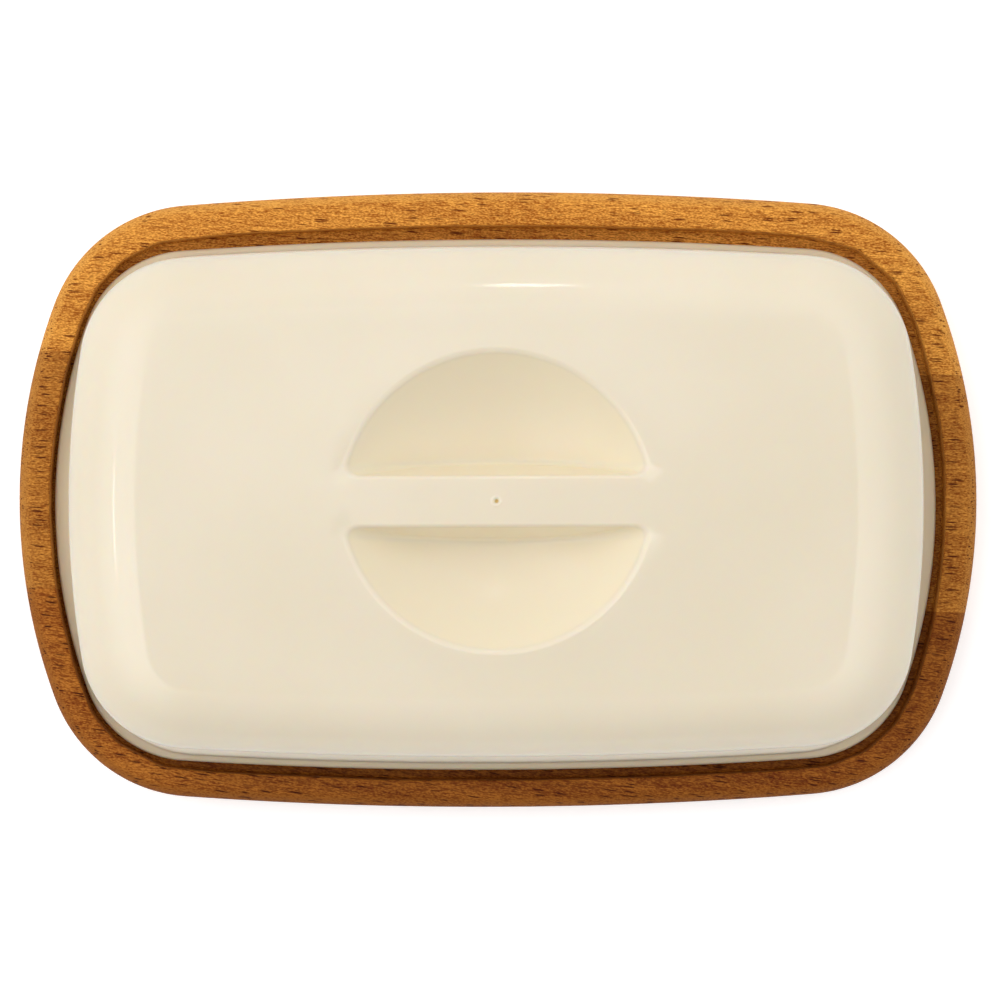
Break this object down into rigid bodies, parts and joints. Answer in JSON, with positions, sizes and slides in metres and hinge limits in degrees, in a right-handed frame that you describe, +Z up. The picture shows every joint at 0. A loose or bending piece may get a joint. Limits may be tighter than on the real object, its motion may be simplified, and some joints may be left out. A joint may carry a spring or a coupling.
{
  "type": "covered butter dish",
  "caption": "Wooden tray of glued beech staves with a routed recess, covered by a one-piece cream plastic hood with a rounded shoulder and a dished finger grip.",
  "frame": {"origin": "centre of the tray's underside, on the surface that the dish stands on", "axes": "+X along the dish, which runs left to right; +Y to the rear; +Z up, the way the hood lifts"},
  "size_m": [0.19, 0.122, 0.064],
  "materials": {
    "beech_rear": "oiled, light orange-brown",
    "beech_middle": "oiled, darker red-brown",
    "beech_front": "oiled, red-brown",
    "cream_plastic": "polished moulded"
  },
  "bodies": {
    "tray": {"rear_stave": "beech_rear", "middle_stave": "beech_middle", "front_stave": "beech_front"},
    "hood": {"hood": "cream_plastic"}
  },
  "joints": [
    {"name": "hood_lift", "type": "slide", "parent": "tray", "child": "hood", "axis": [0, 0, 1], "range_m": [0, 0.08]}
  ]
}
